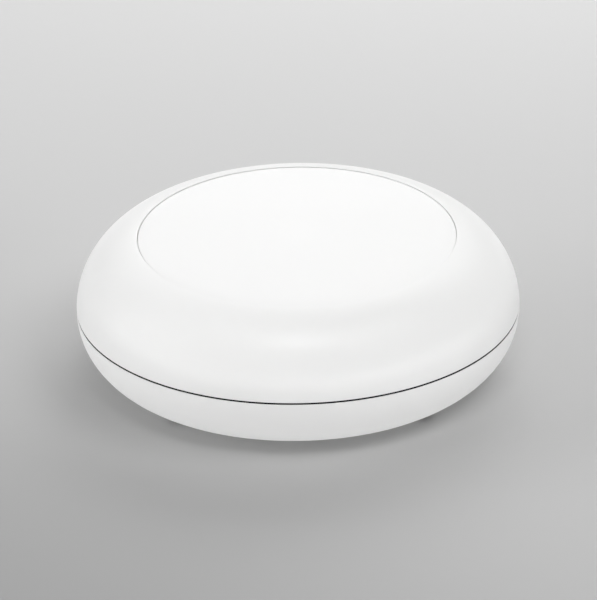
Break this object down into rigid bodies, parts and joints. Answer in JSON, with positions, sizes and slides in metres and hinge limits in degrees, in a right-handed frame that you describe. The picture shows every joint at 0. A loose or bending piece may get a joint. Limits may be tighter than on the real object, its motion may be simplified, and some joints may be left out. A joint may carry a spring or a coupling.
{
  "type": "ceiling wireless access point",
  "caption": "Low round dome-fronted access point with a ring shell round a flush disc, twisting off a ceiling bracket; sockets and reset button in a rear cable bay.",
  "frame": {"origin": "centre of the back face, on the plane that meets the ceiling", "axes": "+Z out through the domed front disc; +X towards the network sockets' side of the cable bay; +Y completes the right-handed frame"},
  "size_m": [0.16, 0.16, 0.0536],
  "materials": {
    "white_case": "satin white ABS/PC, fine moulded grain",
    "bracket_plastic": "light grey moulded plastic",
    "gasket_rubber": "dark grey rubber",
    "stud_steel": "zinc-plated steel",
    "spring_steel": "bright spring wire",
    "acetal": "natural acetal",
    "dark_plastic": "black moulded plastic",
    "tin": "bright tin plate",
    "gold_contact": "gold-plated contact",
    "board_green": "green solder resist",
    "chip_black": "black epoxy package",
    "ceramic": "ceramic capacitor",
    "ferrite": "dark ferrite",
    "can_metal": "drawn aluminium can",
    "sink_aluminium": "cast aluminium",
    "thermal_rubber": "soft blue-grey thermal pad",
    "brass": "turned brass",
    "plate_aluminium": "brushed aluminium sheet",
    "clear_acrylic": "clear acrylic",
    "coax_jacket": "black coaxial jacket",
    "label_paper": "blank silver-white label film",
    "button_grey": "grey moulded button"
  },
  "bodies": {
    "bracket": {"ceiling_bracket": "bracket_plastic"},
    "housing": {"top_cover": "white_case", "front_disc": "white_case", "base_shell": "white_case", "seam_gasket": "gasket_rubber", "case_screws": "stud_steel", "bayonet_studs": "stud_steel", "stud_nuts": "stud_steel", "detent_spring": "spring_steel", "detent_cap": "dark_plastic", "reset_switch": "tin", "rating_label": "label_paper", "poe_jack_body": "dark_plastic", "poe_jack_shield": "tin", "poe_jack_contacts": "gold_contact", "lan_jack_body": "dark_plastic", "lan_jack_shield": "tin", "lan_jack_contacts": "gold_contact", "dc_jack": "dark_plastic", "dc_jack_pin": "tin", "main_board": "board_green", "processor": "chip_black", "memory_chips": "chip_black", "flash_chip": "chip_black", "radio_chips": "chip_black", "crystals": "tin", "chip_capacitors": "ceramic", "shield_frames": "tin", "shield_lids": "tin", "poe_transformer": "ferrite", "power_inductors": "ferrite", "ethernet_magnetics": "chip_black", "bulk_capacitors": "can_metal", "debug_header": "dark_plastic", "header_pins": "gold_contact", "status_led": "label_paper", "light_pipe": "clear_acrylic", "heat_sink": "sink_aluminium", "thermal_pads": "thermal_rubber", "sink_screws": "stud_steel", "brass_inserts": "brass", "board_standoffs": "brass", "plate_screws": "stud_steel", "antenna_plate": "plate_aluminium", "antennas_24ghz": "tin", "antennas_5ghz": "tin", "antenna_supports": "dark_plastic", "coax_leads": "coax_jacket", "coax_plugs": "gold_contact"},
    "detent": {"detent_plunger": "acetal"},
    "reset": {"reset_button": "button_grey", "switch_stem": "dark_plastic"}
  },
  "joints": [
    {"name": "housing_twist", "type": "hinge", "parent": "bracket", "child": "housing", "pos_m": [0, 0, 0], "axis": [0, 0, 1], "range_deg": [0, 18]},
    {"name": "detent_lift", "type": "slide", "parent": "housing", "child": "detent", "axis": [0, 0, 1], "range_m": [0, 0.00151], "deforming": ["detent_spring"]},
    {"name": "reset_press", "type": "slide", "parent": "housing", "child": "reset", "axis": [0, 0, 1], "range_m": [0, 0.00045], "stiffness_N_per_m": 3000}
  ],
  "couplings": [
    {"joint": "detent_lift", "follows": "housing_twist", "m_per_rad": 0.004775}
  ]
}
